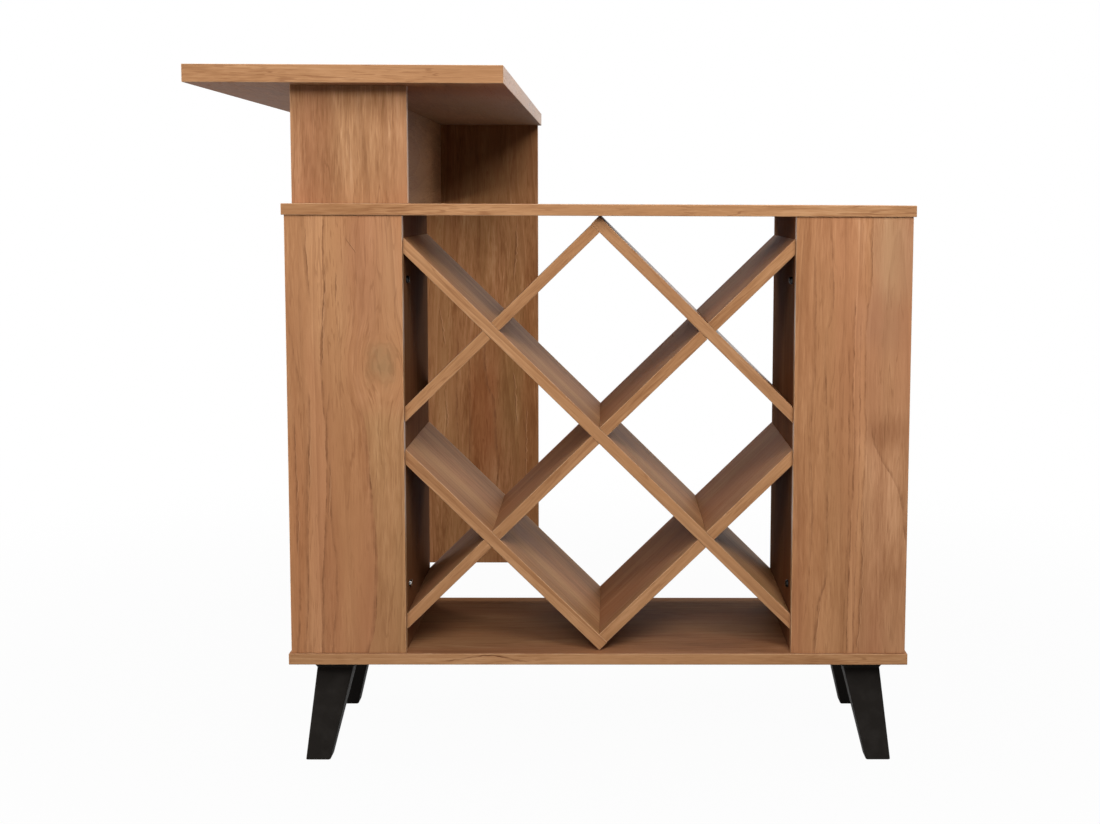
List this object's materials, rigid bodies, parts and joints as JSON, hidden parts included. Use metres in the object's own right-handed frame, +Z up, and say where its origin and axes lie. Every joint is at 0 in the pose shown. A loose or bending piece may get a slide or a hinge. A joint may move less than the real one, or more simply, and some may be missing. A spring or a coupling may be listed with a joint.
{
  "type": "bar table",
  "caption": "Home bar table: a wine-rack cabinet on splayed tapered legs carries one end of a long high bar top, which a full-width end panel carries at the other.",
  "frame": {"origin": "centre of the plan outline at floor level", "axes": "+Z up, +Y from the cabinet's rack front along the bar to its far end, +X to the right seen from the front"},
  "size_m": [1.15, 1.5, 1.12],
  "materials": {
    "oak_laminate": "satin oak-grain foil on chipboard",
    "black_plastic": "fine matt black",
    "zinc_steel": "zinc plated",
    "beech_dowel": "bare beech"
  },
  "bodies": {
    "root": {"cabinet_top": "oak_laminate", "cabinet_bottom": "oak_laminate", "left_front_board": "oak_laminate", "right_front_board": "oak_laminate", "left_partition": "oak_laminate", "right_partition": "oak_laminate", "left_outer_side": "oak_laminate", "right_outer_side": "oak_laminate", "left_niche_shelf": "oak_laminate", "right_niche_shelf": "oak_laminate", "rack_long_falling": "oak_laminate", "rack_long_rising": "oak_laminate", "rack_upper_left": "oak_laminate", "rack_upper_right": "oak_laminate", "rack_lower_left": "oak_laminate", "rack_lower_right": "oak_laminate", "bar_top": "oak_laminate", "column_board": "oak_laminate", "spine_board": "oak_laminate", "end_panel": "oak_laminate", "front_left_leg": "black_plastic", "front_right_leg": "black_plastic", "rear_left_leg": "black_plastic", "rear_right_leg": "black_plastic", "end_panel_glides": "black_plastic", "bottom_confirmats": "zinc_steel", "shelf_pins": "zinc_steel", "corner_brackets": "zinc_steel", "bracket_bolts": "zinc_steel", "bracket_nuts": "zinc_steel", "bracket_screws": "zinc_steel", "cam_discs": "zinc_steel", "cam_bolts": "zinc_steel", "rack_screws": "zinc_steel", "spine_confirmats": "zinc_steel", "leg_bolts": "zinc_steel", "front_dowels": "beech_dowel", "bar_dowels": "beech_dowel"}
  },
  "joints": []
}
